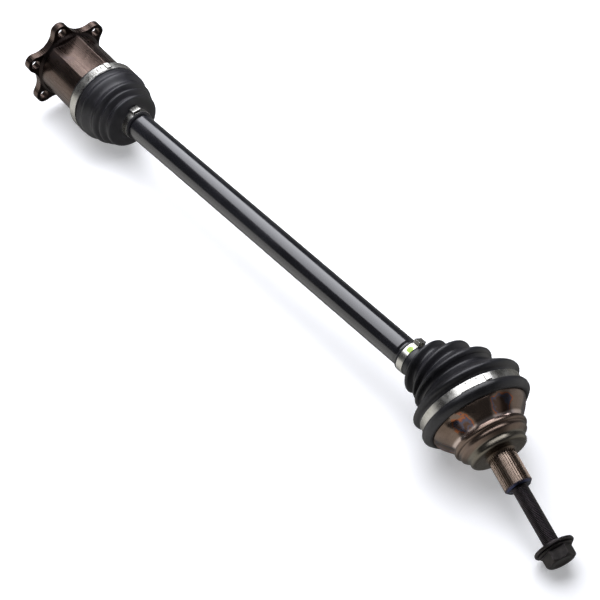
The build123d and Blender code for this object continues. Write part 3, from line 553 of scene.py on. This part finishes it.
# ---------------------------------------------------------------- inner boot
INNER_BELLOWS = [
    (86.0, 44.0, 0.0), (89.5, 41.8, 0.05), (94.5, 43.5, 0.15), (102.5, 37.8, 0.3), (109.5, 39.7, 0.4),
    (113.5, 33.4, 0.45), (117.5, 36.3, 0.5), (121.5, 29.8, 0.6), (126.0, 33.0, 0.7),
]
INNER_SEAM = 102.5
INNER_WALL = 2.2
ADAPTER_FIT_R = 40.45


def inner_ring(height, radius, share):
    """Ring of the inner boot: it leaves the tulip's axis and joins the shaft's."""
    on_tulip = TRIPOD_JOINT + TULIP_DIR * (height - FLANGE_TO_JOINT)
    on_shaft = TRIPOD_JOINT + SHAFT_DIR * (height - FLANGE_TO_JOINT)
    direction = leaning(INNER_BEND * (1.0 - share), TRUNNION_AZIMUTH - 90.0)
    return on_tulip.lerp(on_shaft, share), direction, radius


inner_seat = [(68.0, 41.6, 0.0), (68.4, 42.4, 0.0), (69.2, 42.6, 0.0), (83.6, 42.6, 0.0), (84.4, 43.2, 0.0)]
inner_folds = spline_through(INNER_BELLOWS, 9)
inner_face = spline_through([(126.0, 33.0, 0.7), (127.4, 32.2, 0.75), (128.3, 29.8, 0.8), (128.9, 25.5, 0.85),
                             (129.3, 20.6, 0.9), (129.9, 17.6, 0.95), (131.0, 16.7, 1.0)], 6)
inner_neck = [(133.0, 16.6, 1.0), (137.6, 16.6, 1.0), (137.9, 16.9, 1.0), (138.4, 17.3, 1.0),
              (139.1, 17.2, 1.0), (139.5, 16.6, 1.0)]
inner_profile = inner_seat + inner_folds + inner_face[1:] + inner_neck
seam_at = min(range(len(inner_profile)), key=lambda i: abs(inner_profile[i][0] - INNER_SEAM))


def inner_inside(profile):
    """Inner surface of the inner boot: on the adapter at its seat, on the shaft at its neck."""
    inside = []
    for height, radius, share in profile:
        if height <= 86.5:
            inner = ADAPTER_FIT_R
        elif height < 128.0:
            inner = radius - INNER_WALL
        else:
            inner = SHAFT_FIT_R + (radius - 16.6) * max(0.0, (131.0 - height) / 3.0) * 0.9
        lift = -1.6 * smooth((height - 122.0) / 4.0) * smooth((132.5 - height) / 3.5)
        inside.append((height + lift, max(inner, SHAFT_FIT_R), share))
    return inside


def inner_half(name, profile):
    """One end of the inner boot."""
    outer = [inner_ring(*point) for point in profile]
    inner = [inner_ring(*point) for point in inner_inside(profile)]
    return shell(name, outer, inner)


inner_boot_a = inner_half("inner_boot_large_end", inner_profile[:seam_at + 1])
inner_boot_b = inner_half("inner_boot_small_end", inner_profile[seam_at:])
for piece in (inner_boot_a, inner_boot_b):
    finish_of(piece, "boot_rubber")
    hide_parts("inner_boot")


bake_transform(inner_boot_a)
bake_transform(inner_boot_b)

# ---------------------------------------------------------------- outer boot
OUTER_BELLOWS = [
    (23.1, 7.9, 18.2, 57.1), (36.0, 10.4, 15.0, 39.0), (44.1, 11.8, 11.6, 44.2), (52.5, 11.0, 6.0, 32.2),
    (59.2, 9.5, 0.5, 37.0), (68.5, 6.4, -3.5, 24.8), (76.0, 3.0, -6.0, 29.8), (82.0, 0.6, -1.0, 17.8),
]
OUTER_WALL = 2.4
OUTER_SEAM = 40.0
BELL_FIT_R = 50.05


def outer_ring(back, offset, tilt, radius):
    """Ring of the outer boot, counted back from the ball joint and pushed out on the bend's far side."""
    centre = BALL_JOINT - SHAFT_DIR * back - BEND_SIDE * offset
    return centre, leaning(tilt, OUTER_BEND_AZIMUTH), radius


def bell_ring(height, radius):
    """Ring on the bell's own axis."""
    return BALL_JOINT + STUB_DIR * height, STUB_DIR, radius


def on_bell(height):
    """The bell's axis in the outer boot's numbers, so that one curve runs on to its seat."""
    along_axis = STUB_DIR * height
    return -along_axis.x, -along_axis.dot(BEND_SIDE), OUTER_BEND


seat_back, seat_offset, seat_tilt = on_bell(-18.0)
neck_end = (85.5, 0.0, 0.0, 16.7)
seat_start = (seat_back, seat_offset, seat_tilt, 52.9)
outer_bellows = spline_through([neck_end] + list(reversed(OUTER_BELLOWS)) + [seat_start], 10)
outer_neck = [(101.0, 0.0, 0.0, 16.4), (100.7, 0.0, 0.0, 17.0), (99.9, 0.0, 0.0, 17.4),
              (98.9, 0.0, 0.0, 17.2), (98.3, 0.0, 0.0, 16.6), (90.0, 0.0, 0.0, 16.6), (87.0, 0.0, 0.0, 16.6)]
outer_profile = outer_neck + outer_bellows
outer_seam_at = min(range(len(outer_profile)), key=lambda i: abs(outer_profile[i][0] - OUTER_SEAM))
BEAD = [(-15.5, 52.6), (-7.2, 52.6), (-6.7, 54.4), (-6.3, 55.9), (-5.6, 56.9), (-4.6, 57.5), (-3.2, 57.55),
        (-1.7, 57.5), (-0.3, 57.0), (1.0, 55.9), (2.6, 54.3), (3.8, 52.9), (4.3, 51.8), (4.2, 50.7)]


def outer_inside(profile):
    """Inner surface of the outer boot: on the shaft at its neck and a wall's thickness in elsewhere."""
    inside = []
    for back, offset, tilt, radius in profile:
        inner = SHAFT_FIT_R if back > 84.0 else max(radius - OUTER_WALL, SHAFT_FIT_R)
        inside.append((back, offset, tilt, inner))
    return inside


def outer_half(name, profile, with_seat):
    """One end of the outer boot, with or without its seat on the bell."""
    outer = [outer_ring(*point) for point in profile]
    inner = [outer_ring(*point) for point in outer_inside(profile)]
    if with_seat:
        outer += [bell_ring(*point) for point in BEAD]
        inner += [bell_ring(-17.6, 50.3)] + [bell_ring(h, BELL_FIT_R) for h in (-16.9, -10.0, -3.0, 3.6)]
    return shell(name, outer, inner)


outer_boot_a = outer_half("outer_boot_small_end", outer_profile[:outer_seam_at + 1], False)
outer_boot_b = outer_half("outer_boot_large_end", outer_profile[outer_seam_at:], True)
for piece in (outer_boot_a, outer_boot_b):
    finish_of(piece, "boot_rubber")
    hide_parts("outer_boot")


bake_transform(outer_boot_a)
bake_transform(outer_boot_b)

# ---------------------------------------------------------------- bell
BELL_OUTLINE = [
    (-17.7, 50.0), (3.8, 50.0), (5.6, 49.8), (7.4, 49.1), (9.4, 48.0), (12.0, 46.2), (15.0, 43.7),
    (18.0, 41.1), (20.5, 39.2), (22.4, 37.9), (23.6, 37.4), (24.1, 37.7), (24.7, 38.2), (25.6, 38.4),
    (27.2, 38.4), (28.0, 38.2), (28.7, 37.6), (29.1, 36.6), (29.5, 35.7), (30.3, 35.3), (33.0, 35.3),
    (33.8, 35.1), (34.6, 34.4), (36.0, 32.7), (37.4, 31.0), (38.0, 30.2), (38.7, 29.95), (39.5, 29.9),
    (42.6, 29.9), (43.5, 29.7), (44.3, 29.1), (45.0, 28.2), (45.5, 26.8), (45.7, 25.0), (45.8, 20.0),
    (45.9, 17.0), (46.2, 15.8), (46.9, 15.0),
]
FLUTE_DEPTH = 3.6
FLUTE_HALF = 14.5
STUB_R = 14.3
STUB_ROOT_R = 13.2
TEETH = 36
BORE_R = 8.06


def bell_radius(height, tag, angle):
    """The bell's outside: bulges over the ball tracks, then the turned steps."""
    depth = FLUTE_DEPTH * smooth((height - 3.6) / 4.5) * smooth((25.5 - height) / 3.2)
    away = from_nearest(angle, math.radians(BALL_PHASE + 30.0))
    share = min(abs(away) * tag / FLUTE_HALF, 1.0)
    return tag - depth * (0.5 + 0.5 * math.cos(math.pi * share)), height


def tooth(angle):
    """1 on a tooth's top, 0 at its root, with short flanks."""
    place = (angle * TEETH / math.tau) % 1.0
    return smooth((0.5 - abs(place - 0.5) - 0.16) / 0.16)


def stub_radius(height, tag, angle):
    """The splined stub: teeth that run out into the shoulder."""
    rise = smooth((height - 46.9) / 2.6)
    root = STUB_ROOT_R + (STUB_R - STUB_ROOT_R) * (1.0 - rise)
    return min(root + (STUB_R - root) * tooth(angle), tag), height


def outside(height, tag, angle):
    """Radius and height of the bell's surface at a station and an angle."""
    if tag[0] == "bell":
        return bell_radius(height, tag[1], angle)
    if tag[0] == "stub":
        return stub_radius(height, tag[1], angle)
    if tag[0] == "cavity":
        return cavity_radius(height, angle), height
    return tag[1], height


def dense(points, step):
    """Straight runs of (height, radius) cut into short ones."""
    result = []
    for (h0, r0), (h1, r1) in zip(points, points[1:]):
        count = max(1, int(math.hypot(h1 - h0, r1 - r0) / step))
        result += [(h0 + (h1 - h0) * k / count, r0 + (r1 - r0) * k / count) for k in range(count)]
    return result + [points[-1]]


stations = [(h, ("bell", r)) for h, r in dense(BELL_OUTLINE, 1.1)]
stations += [(h, ("stub", STUB_R + max(0.0, 0.5 - (h - 46.9)))) for h in (47.1, 47.5, 48.0, 48.6, 49.2, 49.8)]
stations += [(49.8 + 30.6 * k / 12, ("stub", STUB_R)) for k in range(1, 13)]
STUB_CHAMFER = [(81.0, STUB_R), (81.6, 13.7), (82.3, 13.0)]
STUB_BORE = [(83.0, 12.3), (83.5, 11.8), (83.6, 11.2), (83.6, 9.2), (83.3, 8.7), (82.6, BORE_R),
             (62.0, BORE_R), (42.0, BORE_R), (40.5, 6.5), (39.6, 0.0)]
stations += [(h, ("stub", r)) for h, r in STUB_CHAMFER] + [(h, ("plain", r)) for h, r in STUB_BORE]
CAVITY_R = 35.5
TRACK_R = 41.1
TRACK_CENTRE = (29.3, 12.4)
TRACK_END_R = 9.3
TRACK_BEND = math.radians(23.0)
MOUTH_HEIGHT = -8.0
MOUTH_SLOPE = 1.05


def track_radius(height):
    """Farthest a ball reaches from the bell's axis at a height, over the joint's whole bend."""
    if height < TRACK_R * math.sin(TRACK_BEND):
        return math.sqrt(max(TRACK_R ** 2 - max(height, 0.0) ** 2, 0.0))
    past = max(TRACK_END_R ** 2 - (height - TRACK_CENTRE[1]) ** 2, 0.0)
    return TRACK_CENTRE[0] + math.sqrt(past)


def cavity_radius(height, angle):
    """Inside of the bell: a sphere for the cage, with a track for each ball."""
    sphere = math.sqrt(max(CAVITY_R ** 2 - height ** 2, 0.0))
    if height <= MOUTH_HEIGHT:
        sphere = 34.6 + (MOUTH_HEIGHT - height) * MOUTH_SLOPE
    away = from_nearest(angle, math.radians(BALL_PHASE))
    share = smooth((abs(math.degrees(away)) - 12.5) / 6.5)
    if height > TRACK_CENTRE[1] + TRACK_END_R:
        return sphere
    return sphere + max(track_radius(height) - sphere, 0.0) * (1.0 - share)


cavity = [(35.4, "pole"), (35.3, "cavity"), (34.8, "cavity"), (33.8, "cavity")]
cavity += [(32.0 - 1.1 * k, "cavity") for k in range(43)]
cavity += [(-16.0, "cavity"), (BELL_OUTLINE[0][0], "cavity")]
whole = [(h, (kind, 0.0)) for h, kind in cavity] + stations
bell = polar("bell_body", BELL, whole, 432, outside)
finish_of(bell, "heat_tinted_steel")
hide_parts("bell_housing")
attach(bell, "bell")

# ---------------------------------------------------------------- hub bolt
BOLT_R = 8.0
THREAD_PITCH = 1.5
THREAD_DEPTH = 0.85
BOLT_TIP = 68.0
HEAD_UNDER = 151.0
HEX_HALF = 13.5


def thread_radius(height, tag, angle):
    """Radius and height of the bolt's surface: helical thread, hexagon or plain."""
    if tag[0] == "thread":
        place = ((height - BOLT_TIP) / THREAD_PITCH - angle / math.tau) % 1.0
        return min(BOLT_R - THREAD_DEPTH * smooth(abs(place - 0.5) * 2.2 - 0.1), tag[1]), height
    if tag[0] == "hex":
        flat = (angle % math.radians(60.0)) - math.radians(30.0)
        return min(HEX_HALF / math.cos(flat), tag[1]), height
    return tag[1], height


bolt_stations = [(BOLT_TIP, ("plain", 0.0)), (BOLT_TIP, ("plain", 5.6)), (BOLT_TIP + 0.2, ("plain", 6.2))]
rows = int((HEAD_UNDER - 1.6 - BOLT_TIP) / THREAD_PITCH * 7)
for k in range(rows + 1):
    height = BOLT_TIP + 0.4 + k * THREAD_PITCH / 7
    bolt_stations.append((height, ("thread", min(6.4 + (height - BOLT_TIP) * 0.9, 9.0))))
HEAD_FLANGE = [(150.2, 8.0), (150.7, 8.3), (151.0, 8.9), (151.0, 16.6), (151.2, 17.2), (151.7, 17.4),
               (152.4, 17.4), (152.9, 17.1), (153.2, 16.5), (153.5, 15.9)]
HEX_START = [(153.7, 15.75), (154.1, 15.65)]
HEX_CROWN = [(163.6, 15.2), (164.1, 14.6), (164.6, 13.9)]
HEAD_TOP = [(164.9, 13.3), (165.0, 12.7), (165.0, 8.5), (164.7, 7.6), (164.4, 6.8), (164.4, 0.0)]
HEX_FLATS = [(154.1 + 8.9 * k / 5, 15.7) for k in range(1, 6)]
bolt_stations += [(h, ("plain", r)) for h, r in HEAD_FLANGE]
bolt_stations += [(h, ("hex", r)) for h, r in HEX_START + HEX_FLATS + HEX_CROWN]
bolt_stations += [(h, ("plain", r)) for h, r in HEAD_TOP]
hub_bolt = polar("hub_bolt_threaded", BELL, bolt_stations, 96, thread_radius)
finish_of(hub_bolt, "black_phosphate_steel")
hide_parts("hub_bolt")
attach(hub_bolt, "bolt")


# ---------------------------------------------------------------- floor, lights and camera
def backdrop(name, light, strength):
    """Plain pale paper that glows a little."""
    shader = Shader(name, Metallic=0.0, Roughness=0.75, Emission_Color=(*light, 1.0),
                    Emission_Strength=strength)
    cloud = shader.noise(1.4, 2.0, 0.4)
    shader.colour(shader.ramp(cloud, (0.3, (0.80, 0.80, 0.80)), (0.7, (0.83, 0.83, 0.83))))
    return shader.material


FLOOR_HALF = 7.0
FLOOR_DROP = -0.0002
FLOOR_LIFT = 0.34
DOME_R = 7.5
floor_mesh = bpy.data.meshes.new("floor")
corners = ((-1.0, -1.0), (1.0, -1.0), (1.0, 1.0), (-1.0, 1.0))
floor_mesh.from_pydata([(x * FLOOR_HALF, y * FLOOR_HALF, FLOOR_DROP) for x, y in corners], [], [(0, 1, 2, 3)])
floor = bpy.data.objects.new("floor", floor_mesh)
bpy.context.collection.objects.link(floor)
floor.data.materials.append(backdrop("floor_look", (0.97, 0.98, 1.0), FLOOR_LIFT))
floor.visible_glossy = False

dome_mesh = bpy.data.meshes.new("backdrop")
dome_work = bmesh.new()
bmesh.ops.create_icosphere(dome_work, subdivisions=4, radius=DOME_R)
dome_work.to_mesh(dome_mesh)
dome_work.free()
dome = bpy.data.objects.new("backdrop", dome_mesh)
bpy.context.collection.objects.link(dome)
dome.data.materials.append(backdrop("backdrop_look", (0.88, 0.88, 0.89), 1.0))
dome.visible_glossy = dome.visible_diffuse = dome.visible_shadow = dome.visible_transmission = False


BOX_HEIGHT = 1.055
BOX_OUTLINE = [(0.45, 0.55), (-0.74, 1.02), (-1.50, 1.25), (-1.45, 0.60), (-1.15, 0.05), (-0.95, -0.34),
               (-0.68, -0.70), (0.10, -0.74)]
BOX_LOW, BOX_HIGH = 3.2, 5.4


def softbox(name):
    """Big softbox over the axle, brighter towards its far side, out of every camera's sight."""
    mesh = bpy.data.meshes.new(name)
    mesh.from_pydata([(x, y, BOX_HEIGHT) for x, y in BOX_OUTLINE], [], [tuple(range(len(BOX_OUTLINE)))])
    mesh.flip_normals()
    box = bpy.data.objects.new(name, mesh)
    bpy.context.collection.objects.link(box)
    shader = Shader(name + "_look", Base_Color=(0.0, 0.0, 0.0, 1.0), Roughness=1.0,
                    Emission_Color=(0.93, 0.94, 1.0, 1.0))
    split = shader.add("ShaderNodeSeparateXYZ")
    shader.plug(shader.coordinates, split.inputs["Vector"])
    glow = shader.range(split.outputs["Y"], -0.7, 0.5, BOX_LOW, BOX_HIGH)
    shader.plug(glow, shader.surface.inputs["Emission Strength"])
    box.data.materials.append(shader.material)
    box.visible_camera = False


softbox("softbox")


def studio(name):
    """The studio's light by direction: a pale room below and beside, dark behind the camera."""
    world = bpy.data.worlds.new(name)
    world.use_nodes = True
    nodes = Nodes(world.node_tree)
    split = nodes.add("ShaderNodeSeparateXYZ")
    nodes.plug(nodes.add("ShaderNodeTexCoord").outputs["Generated"], split.inputs["Vector"])
    x, y, z = split.outputs
    room = nodes.product(nodes.range(z, -0.05, 0.01, 1.0, 0.0), nodes.range(y, -0.70, 0.05, ROOM, ROOM_DARK))
    glow_way = nodes.add("ShaderNodeVectorMath", operation="DOT_PRODUCT")
    nodes.plug(nodes.tree.nodes["Texture Coordinate"].outputs["Generated"], glow_way.inputs[0])
    glow_way.inputs[1].default_value = Vector((0.55, 0.80, -0.10)).normalized()
    glow = nodes.range(glow_way.outputs["Value"], 0.72, 0.92, 0.0, SIDE_GLOW)
    strength = nodes.sum(nodes.sum(room, glow), AMBIENT)
    background = nodes.tree.nodes["Background"]
    tint = nodes.mix(nodes.range(z, -0.05, 0.1), (1.0, 0.985, 0.965), (0.93, 0.94, 1.0))
    nodes.plug(tint, background.inputs["Color"])
    nodes.plug(strength, background.inputs["Strength"])
    return world


ROOM, ROOM_DARK = 0.95, 0.10
SIDE_GLOW = 0.55
AMBIENT = 0.09
bpy.context.scene.world = studio("studio")

CAMERA_MM = Vector((1037.80, -863.22, 1412.52))
CAMERA_FORWARD = Vector((-0.5307, 0.4410, -0.7238)).normalized()
camera_data = bpy.data.cameras.new("camera")
camera_data.sensor_width = 36.0
camera_data.lens = 111.0
camera_data.clip_end = 50.0
camera = bpy.data.objects.new("camera", camera_data)
camera.location = CAMERA_MM * MM
camera.rotation_euler = CAMERA_FORWARD.to_track_quat("-Z", "Y").to_euler()
bpy.context.collection.objects.link(camera)
bpy.context.scene.camera = camera
bpy.context.scene.view_settings.view_transform = "Standard"
